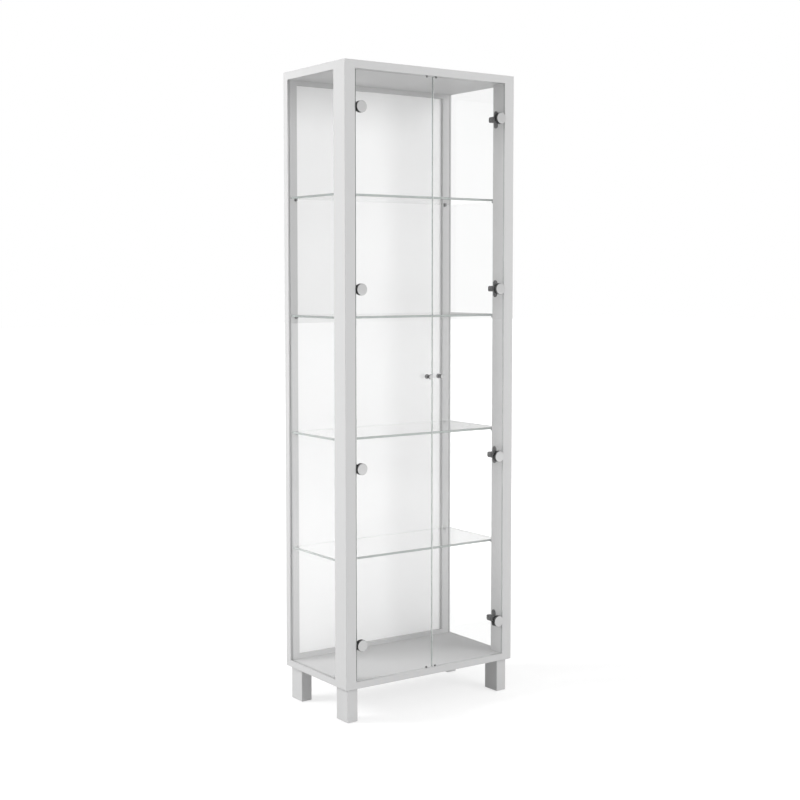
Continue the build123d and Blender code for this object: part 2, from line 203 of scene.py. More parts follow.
class Effects:
    """Node groups that more than one finish uses, each built once."""

    def __init__(self) -> None:
        """Starts with none built."""
        self.built: dict[str, bpy.types.NodeTree] = {}

    def group(
        self,
        name: str,
        inputs: Sequence[tuple[str, str, object]],
        outputs: Sequence[tuple[str, str]],
        body: Callable[[NodeSheet, bpy.types.Node, bpy.types.Node], None],
    ) -> bpy.types.NodeTree:
        """Builds a group the first time it is asked for.

        Args:
            name: The group's name.
            inputs: Name, socket type and default of each input.
            outputs: Name and socket type of each output.
            body: Fills the group between its input and output nodes.

        Returns:
            The group's tree.
        """
        if name in self.built:
            return self.built[name]
        tree = bpy.data.node_groups.new(name, "ShaderNodeTree")
        for label, kind, default in inputs:
            socket = tree.interface.new_socket(label, in_out="INPUT", socket_type=f"NodeSocket{kind}")
            socket.default_value = default
        for label, kind in outputs:
            tree.interface.new_socket(label, in_out="OUTPUT", socket_type=f"NodeSocket{kind}")
        sheet = NodeSheet(tree)
        body(sheet, sheet.add("NodeGroupInput"), sheet.add("NodeGroupOutput"))
        self.built[name] = tree
        return tree

    def fine_surface(self) -> bpy.types.NodeTree:
        """Roughness that wanders and a fine even ripple, as sprayed or moulded surfaces have."""

        def body(sheet: NodeSheet, given: bpy.types.Node, out: bpy.types.Node) -> None:
            place = sheet.add("TexCoord").outputs["Object"]
            ripple = sheet.noise(place, given.outputs["Ripple Scale"], 2.0)
            smear = sheet.noise(place, given.outputs["Smear Scale"], 4.0)
            wander = sheet.math("SUBTRACT", smear, 0.5)
            wander = sheet.math("MULTIPLY", wander, given.outputs["Spread"])
            rough = sheet.math("ADD", given.outputs["Roughness"], wander)
            sheet.tree.links.new(rough, out.inputs["Roughness"])
            sheet.tree.links.new(ripple, out.inputs["Height"])

        return self.group(
            "fine_surface",
            [
                ("Ripple Scale", "Float", 900.0),
                ("Smear Scale", "Float", 9.0),
                ("Roughness", "Float", 0.4),
                ("Spread", "Float", 0.1),
            ],
            [("Roughness", "Float"), ("Height", "Float")],
            body,
        )

    def clouded_colour(self) -> bpy.types.NodeTree:
        """A colour that drifts a little towards a second one over the surface."""

        def body(sheet: NodeSheet, given: bpy.types.Node, out: bpy.types.Node) -> None:
            place = sheet.add("TexCoord").outputs["Object"]
            broad = sheet.noise(place, given.outputs["Scale"], 3.0)
            fine = sheet.noise(place, given.outputs["Fleck Scale"], 1.0)
            drift = sheet.math("MULTIPLY", broad, given.outputs["Amount"])
            fleck = sheet.math("MULTIPLY", fine, given.outputs["Flecks"])
            share = sheet.math("ADD", drift, fleck)
            colour = sheet.mix(share, given.outputs["Colour"], given.outputs["Second"])
            sheet.tree.links.new(colour, out.inputs["Colour"])

        return self.group(
            "clouded_colour",
            [
                ("Colour", "Color", grey(0.5)),
                ("Second", "Color", grey(0.4)),
                ("Scale", "Float", 3.0),
                ("Fleck Scale", "Float", 1500.0),
                ("Amount", "Float", 0.3),
                ("Flecks", "Float", 0.1),
            ],
            [("Colour", "Color")],
            body,
        )

    def turned_face(self) -> bpy.types.NodeTree:
        """1 on a turned piece's end face and 0 on its side wall, with a soft change over the edge; it
        places the painted shade on the side wall.
        """

        def body(sheet: NodeSheet, given: bpy.types.Node, out: bpy.types.Node) -> None:
            soft = sheet.ease(sheet.facing(given.outputs["Axis"]), SHADED_WALL_TO_FACE)
            sheet.tree.links.new(soft, out.inputs["Mask"])

        return self.group("turned_face", [("Axis", "Vector", (0.0, 1.0, 0.0))], [("Mask", "Float")], body)

    def lathe_rings(self) -> bpy.types.NodeTree:
        """Fine rings round a turned piece, from the radius kept on its vertices."""

        def body(sheet: NodeSheet, given: bpy.types.Node, out: bpy.types.Node) -> None:
            radius = sheet.add("Attribute", attribute_name=RADIUS_ATTRIBUTE).outputs["Fac"]
            place = sheet.add("TexCoord").outputs["Object"]
            turns = sheet.math("MULTIPLY", radius, given.outputs["Rings per Metre"])
            line = sheet.add("CombineXYZ", {"X": turns})
            ring = sheet.noise(line.outputs[0], 1.0, 2.0)
            smear = sheet.noise(place, 60.0, 3.0)
            mixed = sheet.math("MULTIPLY", ring, smear)
            wander = sheet.math("MULTIPLY", mixed, given.outputs["Spread"])
            rough = sheet.math("ADD", given.outputs["Roughness"], wander)
            sheet.tree.links.new(rough, out.inputs["Roughness"])
            sheet.tree.links.new(ring, out.inputs["Height"])

        return self.group(
            "lathe_rings",
            [
                ("Rings per Metre", "Float", 9000.0),
                ("Roughness", "Float", 0.3),
                ("Spread", "Float", 0.2),
            ],
            [("Roughness", "Float"), ("Height", "Float")],
            body,
        )


effects = Effects()


@dataclass(frozen=True)
class Finish:
    """What every finish has: a name and the parts of its principled shader that stay plain."""

    name: str

    def sheet(self) -> tuple[bpy.types.Material, NodeSheet]:
        """A new material with an empty sheet of nodes."""
        material = bpy.data.materials.new(self.name)
        material.use_nodes = True
        return material, NodeSheet(material.node_tree)

    def close(self, sheet: NodeSheet, shader: bpy.types.NodeSocket) -> None:
        """Joins the last shader to the material's output."""
        sheet.add("OutputMaterial", {"Surface": shader})

    def material(self) -> bpy.types.Material:
        """Builds the material."""
        raise NotImplementedError


@dataclass(frozen=True)
class CoatedFinish(Finish):
    """A sprayed, moulded or plated surface: colour that drifts, a fine ripple and a wandering gloss."""

    colour: Colour
    second: Colour
    roughness: float
    spread: float = 0.08
    ripple_scale: float = 900.0
    ripple_depth: float = 0.02
    smear_scale: float = 9.0
    cloud_scale: float = 3.0
    amount: float = 0.4
    flecks: float = 0.0
    metallic: float = 0.0
    coat: float = 0.0
    coat_roughness: float = 0.1
    specular: float = 0.5

    def material(self) -> bpy.types.Material:
        """Builds the material."""
        material, sheet = self.sheet()
        cloud = sheet.add(
            "Group",
            {
                "Colour": self.colour,
                "Second": self.second,
                "Scale": self.cloud_scale,
                "Amount": self.amount,
                "Flecks": self.flecks,
            },
            node_tree=effects.clouded_colour(),
        )
        surface = sheet.add(
            "Group",
            {
                "Ripple Scale": self.ripple_scale,
                "Smear Scale": self.smear_scale,
                "Roughness": self.roughness,
                "Spread": self.spread,
            },
            node_tree=effects.fine_surface(),
        )
        shader = sheet.add(
            "BsdfPrincipled",
            {
                "Base Color": cloud.outputs["Colour"],
                "Roughness": surface.outputs["Roughness"],
                "Normal": sheet.bump(surface.outputs["Height"], self.ripple_depth, MM),
                "Metallic": self.metallic,
                "Coat Weight": self.coat,
                "Coat Roughness": self.coat_roughness,
                "Specular IOR Level": self.specular,
            },
        )
        self.close(sheet, shader.outputs["BSDF"])
        return material


@dataclass(frozen=True)
class TurnedFinish(Finish):
    """Satin metal with fine rings left by the lathe, with painted shade: the side wall is coloured darker
    than the bright end face.
    """

    colour: Colour
    # Painted shade: the darker colour laid on the side wall in place of the metal's own colour.
    wall: Colour
    roughness: float
    spread: float = 0.2
    rings: float = 9000.0
    depth: float = 0.03
    cloud_scale: float = 120.0
    second_share: float = 0.9

    def material(self) -> bpy.types.Material:
        """Builds the material."""
        material, sheet = self.sheet()
        lathe = sheet.add(
            "Group",
            {"Rings per Metre": self.rings, "Roughness": self.roughness, "Spread": self.spread},
            node_tree=effects.lathe_rings(),
        )
        second = tuple(level * self.second_share for level in self.colour[:3]) + (1.0,)
        cloud = sheet.add(
            "Group",
            {"Colour": self.colour, "Second": second, "Scale": self.cloud_scale},
            node_tree=effects.clouded_colour(),
        )
        face = sheet.add("Group", node_tree=effects.turned_face())
        # Painted shade: the side wall takes the darker wall colour, the end face keeps the metal colour.
        colour = sheet.mix(face.outputs["Mask"], self.wall, cloud.outputs["Colour"])
        shader = sheet.add(
            "BsdfPrincipled",
            {
                "Base Color": colour,
                "Metallic": 1.0,
                "Roughness": lathe.outputs["Roughness"],
                "Normal": sheet.bump(lathe.outputs["Height"], self.depth, MM / 2),
            },
        )
        self.close(sheet, shader.outputs["BSDF"])
        return material


@dataclass(frozen=True)
class GlassFinish(Finish):
    """Float glass: clear through its broad faces, satin grey-green on its narrow ones."""

    across: tuple[float, float, float]
    tint: Colour = (0.996, 0.998, 0.997, 1.0)
    edge: Colour = (0.37, 0.405, 0.39, 1.0)
    edge_dark: Colour = (0.3, 0.335, 0.32, 1.0)
    edge_share: float = 0.85
    edge_roughness: float = 0.16
    passing: Colour = (0.97, 0.97, 0.97, 1.0)
    ior: float = 1.5
    waver_scale: float = 2.2
    waver_depth: float = 0.01
    edge_cloud_scale: float = 40.0

    def material(self) -> bpy.types.Material:
        """Builds the material."""
        material, sheet = self.sheet()
        place = sheet.add("TexCoord").outputs["Object"]
        waver = sheet.noise(place, self.waver_scale, 1.0)
        clear = sheet.add(
            "BsdfPrincipled",
            {
                "Base Color": self.tint,
                "Roughness": 0.0,
                "IOR": self.ior,
                "Transmission Weight": 1.0,
                "Normal": sheet.bump(waver, self.waver_depth, MM),
            },
        )
        cloud = sheet.add(
            "Group",
            {"Colour": self.edge, "Second": self.edge_dark, "Scale": self.edge_cloud_scale},
            node_tree=effects.clouded_colour(),
        )
        ground = sheet.add(
            "BsdfPrincipled", {"Base Color": cloud.outputs["Colour"], "Roughness": self.edge_roughness}
        )
        narrow = sheet.math("LESS_THAN", sheet.facing(self.across), NARROW_BELOW)
        share = sheet.math("MULTIPLY", narrow, self.edge_share)
        glass = sheet.add("MixShader", {0: share, 1: clear.outputs["BSDF"], 2: ground.outputs["BSDF"]})
        passing = sheet.add("BsdfTransparent", {"Color": self.passing})
        path = sheet.add("LightPath")
        unseen = sheet.math("MAXIMUM", path.outputs["Is Shadow Ray"], path.outputs["Is Diffuse Ray"])
        both = sheet.add("MixShader", {0: unseen, 1: glass.outputs["Shader"], 2: passing.outputs["BSDF"]})
        self.close(sheet, both.outputs["Shader"])
        return material


@dataclass(frozen=True)
class BeechFinish(Finish):
    """Bare beech of the dowels, with its grain along the rod."""

    colour: Colour = (0.62, 0.42, 0.24, 1.0)
    dark: Colour = (0.42, 0.26, 0.13, 1.0)
    drawn_out: float = 0.04
    grain_scale: float = 900.0
    gloss: Point = (0.55, 0.8)

    def material(self) -> bpy.types.Material:
        """Builds the material."""
        material, sheet = self.sheet()
        place = sheet.add("TexCoord").outputs["Object"]
        drawn = sheet.add("Mapping", {"Vector": place, "Scale": (1.0, 1.0, self.drawn_out)})
        grain = sheet.noise(drawn.outputs[0], self.grain_scale, 5.0)
        colour = sheet.mix(grain, self.colour, self.dark)
        rough = sheet.stretch(grain, *self.gloss)
        bump = sheet.bump(grain, 0.2, MM / 2)
        shader = sheet.add("BsdfPrincipled", {"Base Color": colour, "Roughness": rough, "Normal": bump})
        self.close(sheet, shader.outputs["BSDF"])
        return material


FRAME_LACQUER = CoatedFinish(
    "frame_lacquer",
    colour=grey(0.54),
    second=(0.51, 0.51, 0.512, 1.0),
    roughness=0.5,
    spread=0.08,
    ripple_scale=700.0,
    ripple_depth=0.05,
    flecks=0.5,
    specular=0.3,
)
BACK_PANEL = CoatedFinish(
    "back_panel_white",
    colour=grey(0.93),
    second=grey(0.91),
    roughness=0.42,
    spread=0.05,
    ripple_scale=300.0,
    ripple_depth=0.02,
    coat=0.5,
    coat_roughness=0.08,
)
SIDE_GLASS = GlassFinish("side_glass_clear", across=(1.0, 0.0, 0.0))
DOOR_GLASS = GlassFinish("door_glass_clear", across=(0.0, 1.0, 0.0))
SHELF_GLASS = GlassFinish("shelf_glass_clear", across=(0.0, 0.0, 1.0))
HINGE_BLACK = CoatedFinish(
    "hinge_black",
    colour=(0.018, 0.018, 0.019, 1.0),
    second=(0.03, 0.03, 0.031, 1.0),
    roughness=0.42,
    spread=0.2,
    ripple_scale=2500.0,
    ripple_depth=0.15,
    smear_scale=80.0,
    cloud_scale=60.0,
)
BLACK_RUBBER = CoatedFinish(
    "black_rubber",
    colour=grey(0.02),
    second=grey(0.04),
    roughness=0.75,
    spread=0.15,
    ripple_scale=4000.0,
    ripple_depth=0.3,
    smear_scale=200.0,
    cloud_scale=200.0,
)
GLIDE_PLASTIC = CoatedFinish(
    "glide_plastic",
    colour=grey(0.035),
    second=grey(0.05),
    roughness=0.6,
    spread=0.15,
    ripple_scale=2500.0,
    ripple_depth=0.2,
    smear_scale=90.0,
    cloud_scale=90.0,
)
WASHER_PLASTIC = CoatedFinish(
    "clear_washer_plastic",
    colour=(0.8, 0.81, 0.81, 1.0),
    second=(0.72, 0.73, 0.73, 1.0),
    roughness=0.35,
    spread=0.1,
    smear_scale=150.0,
    cloud_scale=150.0,
)
ZINC_STEEL = CoatedFinish(
    "zinc_steel",
    colour=(0.62, 0.63, 0.65, 1.0),
    second=(0.5, 0.51, 0.5, 1.0),
    roughness=0.32,
    spread=0.25,
    ripple_scale=3000.0,
    ripple_depth=0.08,
    smear_scale=160.0,
    cloud_scale=120.0,
    metallic=1.0,
)
# The wall colours below are painted shade, far darker than the same steel on the end faces.
PIN_STEEL = TurnedFinish("shelf_pin_steel", colour=grey(0.2), wall=grey(0.16), roughness=0.3)
CAP_STEEL = TurnedFinish("satin_cap_steel", colour=grey(0.54), wall=grey(0.1), roughness=0.3, rings=7000.0)
KNOB_STEEL = TurnedFinish("satin_knob_steel", colour=grey(0.52), wall=grey(0.15), roughness=0.24)
DOWEL_BEECH = BeechFinish("dowel_beech")


def both(*stems: str) -> tuple[str, ...]:
    """The names of the left and the right node of each stem."""
    return tuple(f"{stem}_{side.value}" for stem in stems for side in Side)


NODE_FINISHES: dict[Finish, tuple[str, ...]] = {
    FRAME_LACQUER: (
        "top_board",
        "bottom_board",
        "rear_top_rail",
        "rear_bottom_rail",
        *both("front_post", "rear_post", "leg_front", "leg_rear"),
    ),
    BACK_PANEL: ("back_panel",),
    SIDE_GLASS: both("side_glass"),
    DOOR_GLASS: both("door_glass"),
    SHELF_GLASS: tuple(f"shelf_{number}" for number in range(1, SHELVES + 1)),
    DOWEL_BEECH: ("frame_dowels",),
    ZINC_STEEL: ("leg_bolts", "leg_inserts", *both("hinge_arm_pins", "hinge_cup_pins", "hinge_links")),
    HINGE_BLACK: both("hinge_plates", "hinge_arms", "hinge_cups"),
    BLACK_RUBBER: both("hinge_gaskets"),
    WASHER_PLASTIC: both("knob_washers"),
}


@dataclass
class Workshop:
    """Keeps one material per finish and turns meshes into pieces."""

    made: dict[str, bpy.types.Material] = field(default_factory=dict)

    def paint(self, piece: bpy.types.Object, finish: Finish) -> None:
        """Gives the piece the one material of a finish."""
        if finish.name not in self.made:
            self.made[finish.name] = finish.material()
        piece.data.materials.clear()
        piece.data.materials.append(self.made[finish.name])

    def piece(
        self, name: str, shape: bmesh.types.BMesh, finish: Finish, smooth: float = 35.0
    ) -> bpy.types.Object:
        """Makes an object at the origin of a finished shape.

        Args:
            name: The piece's name.
            shape: The mesh in the cabinet's frame, which this frees.
            finish: What it is painted with.
            smooth: Angle in degrees, up to which neighbouring faces shade as one.

        Returns:
            The new object.
        """
        mesh = bpy.data.meshes.new(name)
        shape.to_mesh(mesh)
        shape.free()
        mesh.shade_smooth()
        mesh.set_sharp_from_angle(angle=math.radians(smooth))
        piece = bpy.data.objects.new(name, mesh)
        bpy.context.scene.collection.objects.link(piece)
        self.paint(piece, finish)
        return piece

    def seat(
        self, piece: bpy.types.Object, body: str, slot: str, replaced: Iterable[str] = ()
    ) -> bpy.types.Object:
        """Puts the piece on its body, in place of CAD nodes.

        Args:
            piece: The finished piece.
            body: The body that it moves with.
            slot: The record's material slot; not used.
            replaced: Nodes that it stands for.

        Returns:
            The same piece.
        """
        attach(piece, body)
        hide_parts(*replaced)
        log.info("%s rides on %s, %d faces", piece.name, body, len(piece.data.polygons))
        return piece


def rounded(corners: Sequence[tuple[float, float, float]], steps: int = 5) -> list[Point]:
    """Rounds the corners of an open outline with tangent arcs.

    Args:
        corners: Radius, height and corner radius of each point, from tip to seat.
        steps: Points on each arc, less one.

    Returns:
        The outline's points.
    """
    points: list[Point] = []
    for index, (x, z, turn) in enumerate(corners):
        here = Vector((x, z))
        if turn <= 0.0 or index in (0, len(corners) - 1):
            points.append((x, z))
            continue
        before = (Vector(corners[index - 1][:2]) - here).normalized()
        after = (Vector(corners[index + 1][:2]) - here).normalized()
        half = before.angle(after) / 2
        reach = turn / math.tan(half)
        centre = here + (before + after).normalized() * turn / math.sin(half)
        start = here + before * reach - centre
        end = here + after * reach - centre
        swept = start.angle_signed(end)
        for step in range(steps + 1):
            arm = start.copy()
            arm.rotate(Matrix.Rotation(-swept * step / steps, 2))
            points.append(tuple(centre + arm))
    return points


def turned(
    shape: bmesh.types.BMesh, outline: Sequence[Point], seat: Vector, facing: Facing, segments: int = 48
) -> None:
    """Spins an outline into a closed turned solid and sets it in place.

    Args:
        shape: The mesh that the solid is added to.
        outline: Radius and height of each point, from the tip's middle to the seat's middle.
        seat: Where height 0 on the axis comes to.
        facing: Which way heights grow.
        segments: Sides of the solid.
    """
    added = bmesh.new()
    kept = added.verts.layers.float.new(RADIUS_ATTRIBUTE)
    points = [added.verts.new((r, 0.0, z)) for r, z in outline]
    edges = [added.edges.new(pair) for pair in zip(points, points[1:])]
    bmesh.ops.spin(
        added,
        geom=points + edges,
        cent=(0.0, 0.0, 0.0),
        axis=(0.0, 0.0, 1.0),
        angle=math.tau,
        steps=segments,
        use_merge=True,
    )
    bmesh.ops.remove_doubles(added, verts=added.verts, dist=MERGE_DISTANCE)
    for vertex in added.verts:
        vertex[kept] = math.hypot(vertex.co.x, vertex.co.y)
    bmesh.ops.recalc_face_normals(added, faces=added.faces)
    bmesh.ops.transform(added, matrix=aimed(facing, seat), verts=added.verts)
    append(shape, added)


def middle_of(node: str) -> Vector:
    """The middle of a node's box."""
    low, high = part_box(node)
    return (low + high) / 2


def aimed(facing: Facing, place: Vector) -> Matrix:
    """Turns +Z to a direction and carries the origin to a place."""
    turn = Vector((0.0, 0.0, 1.0)).rotation_difference(facing.vector).to_matrix().to_4x4()
    return Matrix.Translation(place) @ turn


def append(shape: bmesh.types.BMesh, added: bmesh.types.BMesh) -> None:
    """Adds one mesh to another and frees it."""
    carrier = bpy.data.meshes.new("carrier")
    added.to_mesh(carrier)
    added.free()
    shape.from_mesh(carrier)
    bpy.data.meshes.remove(carrier)


@dataclass(frozen=True)
class CrossScrew:
    """A screw with a cross recess, head up along its axis, shank down from height 0."""

    head_radius: float
    shank_radius: float
    length: float
    head_height: float
    countersunk: bool
    recess_reach: float
    recess_half_width: float
    recess_depth: float
    recess_taper: float = 0.72
    end_taper: float = 0.4
    segments: int = 24

    def build(self, top: Vector, facing: Facing) -> bmesh.types.BMesh:
        """Builds the screw.

        Args:
            top: The middle of the head's flat top.
            facing: Which way the head points.

        Returns:
            The screw's mesh, in place.
        """
        screw = bmesh.new()
        rim = bmesh.ops.create_circle(screw, segments=self.segments, radius=self.head_radius)["verts"]
        rim_edges = list({edge for vertex in rim for edge in vertex.link_edges})
        cross = self.recess_outline(screw)
        bmesh.ops.triangle_fill(screw, use_beauty=True, edges=rim_edges + cross)
        self.sink(screw, cross, Vector((0.0, 0.0, -self.recess_depth)), self.recess_taper, close=True)
        narrow = self.shank_radius / self.head_radius
        under_head = Vector((0.0, 0.0, -self.head_height))
        if self.countersunk:
            edges = self.sink(screw, rim_edges, under_head, narrow)
        else:
            edges = self.sink(screw, rim_edges, under_head, 1.0)
            edges = self.sink(screw, edges, Vector(), narrow)
        shank = Vector((0.0, 0.0, self.head_height - self.length))
        edges = self.sink(screw, edges, shank, 1.0)
        self.sink(screw, edges, Vector(), self.end_taper, close=True)
        bmesh.ops.remove_doubles(screw, verts=screw.verts, dist=MERGE_DISTANCE)
        bmesh.ops.recalc_face_normals(screw, faces=screw.faces)
        bmesh.ops.transform(screw, matrix=aimed(facing, top), verts=screw.verts)
        return screw

    def recess_outline(self, screw: bmesh.types.BMesh) -> list[bmesh.types.BMEdge]:
        """The cross in the head's top, as a closed loop of edges."""
        reach, half = self.recess_reach, self.recess_half_width
        quarter = [(reach, -half), (reach, half), (half, half)]
        corners = []
        for turn in range(4):
            spin = Matrix.Rotation(math.tau * turn / 4, 2)
            corners += [spin @ Vector(point) for point in quarter]
        vertices = [screw.verts.new((x, y, 0.0)) for x, y in corners]
        return [screw.edges.new(pair) for pair in zip(vertices, vertices[1:] + vertices[:1])]

    def sink(
        self,
        screw: bmesh.types.BMesh,
        edges: list[bmesh.types.BMEdge],
        shift: Vector,
        share: float,
        close: bool = False,
    ) -> list[bmesh.types.BMEdge]:
        """Extrudes a loop of edges along the axis and narrows it.

        Args:
            screw: The mesh.
            edges: The loop.
            shift: How far the new loop moves.
            share: The new loop's size, as a share of the old one's.
            close: Whether a face closes the new loop.

        Returns:
            The new loop's edges.
        """
        grown = bmesh.ops.extrude_edge_only(screw, edges=edges)["geom"]
        vertices = [item for item in grown if isinstance(item, bmesh.types.BMVert)]
        new_edges = [item for item in grown if isinstance(item, bmesh.types.BMEdge)]
        loop = [edge for edge in new_edges if all(vertex in vertices for vertex in edge.verts)]
        bmesh.ops.scale(screw, vec=(share, share, 1.0), verts=vertices)
        bmesh.ops.translate(screw, vec=shift, verts=vertices)
        if close:
            bmesh.ops.contextual_create(screw, geom=loop)
        return loop


@dataclass
class Hinges:
    """The hinges of both doors: turned cover caps and recessed screws round the CAD arms and cups."""

    shop: Workshop
    cap_dome: float = 0.5 * MM
    cap_edge: float = 1.1 * MM
    cap_wall: float = 1.2 * MM
    cap_boss: float = 8.0 * MM
    cap_boss_skin: float = 1.7 * MM
    cap_crown: float = 12.0 * MM
    cap_rim_turn: float = 0.2 * MM
    cap_inner_turn: float = 0.4 * MM
    cap_sides: int = 72
    plate_head: float = 3.8 * MM
    plate_shank: float = 1.75 * MM
    plate_head_height: float = 2.0 * MM
    arm_head: float = 3.6 * MM
    arm_shank: float = 2.0 * MM
    arm_head_height: float = 1.6 * MM
    bevel: float = 0.3 * MM
    bevel_angle: float = 50.0
    weld_distance: float = 0.01 * MM

    def heights(self) -> list[float]:
        """The height of each hinge's middle, from the caps' own box."""
        low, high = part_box("hinge_caps_left")
        radius = (high.x - low.x) / 2
        first = low.z + radius
        spacing = (high.z - low.z - 2 * radius) / (HINGES_PER_DOOR - 1)
        return [first + spacing * number for number in range(HINGES_PER_DOOR)]

    def caps(self, side: Side) -> None:
        """The round cover caps on the outside of a door."""
        node = f"hinge_caps_{side.value}"
        low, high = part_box(node)
        radius = (high.x - low.x) / 2
        seat = high.y
        reach = seat - low.y
        inside = radius - self.cap_wall
        ceiling = reach - 2 * self.cap_wall
        outline = rounded(
            [
                (0.0, reach, 0.0),
                (radius - 3 * self.cap_edge, reach - self.cap_dome / 4, self.cap_crown),
                (radius, reach - self.cap_dome, self.cap_edge),
                (radius, 0.0, self.cap_rim_turn),
                (inside, 0.0, self.cap_rim_turn),
                (inside, ceiling, self.cap_inner_turn),
                (self.cap_boss, ceiling, self.cap_inner_turn),
                (self.cap_boss, reach - self.cap_boss_skin, 0.0),
                (0.0, reach - self.cap_boss_skin, 0.0),
            ]
        )
        shape = bmesh.new()
        for height in self.heights():
            place = Vector(((low.x + high.x) / 2, seat, height))
            turned(shape, outline, place, Facing.FRONT, self.cap_sides)
        piece = self.shop.piece(f"turned_caps_{side.value}", shape, CAP_STEEL)
        self.shop.seat(piece, side.door, "satin_cap_steel", [node])

    def plate_screws(self, side: Side) -> None:
        """The countersunk screws that hold the mounting plates."""
        node = f"hinge_plate_screws_{side.value}"
        low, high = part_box(node)
        heights = self.heights()
        half_spacing = heights[0] - low.z - self.plate_head
        screw = CrossScrew(
            head_radius=self.plate_head,
            shank_radius=self.plate_shank,
            length=high.x - low.x,
            head_height=self.plate_head_height,
            countersunk=True,
            recess_reach=2.2 * MM,
            recess_half_width=0.45 * MM,
            recess_depth=1.1 * MM,
        )
        shape = bmesh.new()
        for height in heights:
            for offset in (-half_spacing, half_spacing):
                top = Vector((side.inner_x(low, high), (low.y + high.y) / 2, height + offset))
                append(shape, screw.build(top, side.inward))
        name = f"recessed_plate_screws_{side.value}"
        piece = self.shop.piece(name, shape, HINGE_BLACK, SCREW_SMOOTH_ANGLE)
        self.shop.seat(piece, "cabinet", "hinge_black", [node])

    def arm_screws(self, side: Side) -> None:
        """The screws that clamp the arms on their plates."""
        node = f"hinge_arm_screws_{side.value}"
        low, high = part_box(node)
        screw = CrossScrew(
            head_radius=self.arm_head,
            shank_radius=self.arm_shank,
            length=high.x - low.x,
            head_height=self.arm_head_height,
            countersunk=False,
            recess_reach=2.3 * MM,
            recess_half_width=0.5 * MM,
            recess_depth=1.0 * MM,
        )
        shape = bmesh.new()
        for height in self.heights():
            top = Vector((side.inner_x(low, high), (low.y + high.y) / 2, height))
            append(shape, screw.build(top, side.inward))
        name = f"recessed_arm_screws_{side.value}"
        piece = self.shop.piece(name, shape, HINGE_BLACK, SCREW_SMOOTH_ANGLE)
        self.shop.seat(piece, "cabinet", "hinge_black", [node])

    def soften(self, node: str) -> None:
        """Breaks the sharp edges of a stamped or cast CAD piece with modifiers."""
        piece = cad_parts[node]
        weld = piece.modifiers.new("weld", "WELD")
        weld.merge_threshold = self.weld_distance
        bevel = piece.modifiers.new("broken_edges", "BEVEL")
        bevel.width = self.bevel
        bevel.segments = 2
        bevel.limit_method = "ANGLE"
        bevel.angle_limit = math.radians(self.bevel_angle)

    def build(self) -> None:
        """Makes every hinge piece of both doors."""
        for side in Side:
            self.caps(side)
            self.plate_screws(side)
            self.arm_screws(side)
            self.soften(f"hinge_plates_{side.value}")
            self.soften(f"hinge_arms_{side.value}")


@dataclass
class Knobs:
    """The turned knobs and the screws that hold them through the glass."""

    shop: Workshop
    base_radius: float = 6.5 * MM
    base_length: float = 3.0 * MM
    neck_radius: float = 4.0 * MM
    head_length: float = 6.0 * MM
    dome: float = 0.5 * MM
    crown: float = 6.0 * MM
    rim_in: float = 1.5 * MM
    rim_turn: float = 1.0 * MM
    head_back: float = 1.0 * MM
    head_turn: float = 1.2 * MM
    neck_below_head: float = 2.2 * MM
    neck_turn: float = 3.0 * MM
    neck_above_base: float = 2.0 * MM
    waist_turn: float = 2.4 * MM
    base_turn: float = 0.8 * MM
    foot_turn: float = 0.2 * MM
    sides: int = 72
    screw_head: float = 4.0 * MM
    screw_head_height: float = 2.4 * MM
    screw_shank: float = 2.0 * MM

    def knob(self, side: Side) -> None:
        """A spool-shaped knob, its neck drawn in between base and head."""
        node = f"knob_{side.value}"
        low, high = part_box(node)
        radius = (high.x - low.x) / 2
        seat = high.y
        length = seat - low.y
        middle = Vector(((low.x + high.x) / 2, seat, (low.z + high.z) / 2))
        head = length - self.head_length
        outline = rounded(
            [
                (0.0, length, 0.0),
                (radius - self.rim_in, length - self.dome * 0.3, self.crown),
                (radius, length - self.dome, self.rim_turn),
                (radius, head + self.head_back, self.head_turn),
                (self.neck_radius, head - self.neck_below_head, self.neck_turn),
                (self.neck_radius, self.base_length + self.neck_above_base, self.waist_turn),
                (self.base_radius, self.base_length, self.base_turn),
                (self.base_radius, 0.0, self.foot_turn),
                (0.0, 0.0, 0.0),
            ],
            steps=8,
        )
        shape = bmesh.new()
        turned(shape, outline, middle, Facing.FRONT, self.sides)
        piece = self.shop.piece(f"turned_knob_{side.value}", shape, KNOB_STEEL)
        self.shop.seat(piece, side.door, "satin_knob_steel", [node])

    def screw(self, side: Side) -> None:
        """The screw from behind the glass into the knob."""
        node = f"knob_screw_{side.value}"
        low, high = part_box(node)
        screw = CrossScrew(
            head_radius=self.screw_head,
            shank_radius=self.screw_shank,
            length=high.y - low.y,
            head_height=self.screw_head_height,
            countersunk=False,
            recess_reach=2.5 * MM,
            recess_half_width=0.55 * MM,
            recess_depth=1.4 * MM,
        )
        top = Vector(((low.x + high.x) / 2, high.y, (low.z + high.z) / 2))
        name = f"recessed_knob_screw_{side.value}"
        piece = self.shop.piece(name, screw.build(top, Facing.BACK), ZINC_STEEL, SCREW_SMOOTH_ANGLE)
        self.shop.seat(piece, side.door, "zinc_steel", [node])

    def build(self) -> None:
        """Makes the knob and screw of both doors."""
        for side in Side:
            self.knob(side)
            self.screw(side)


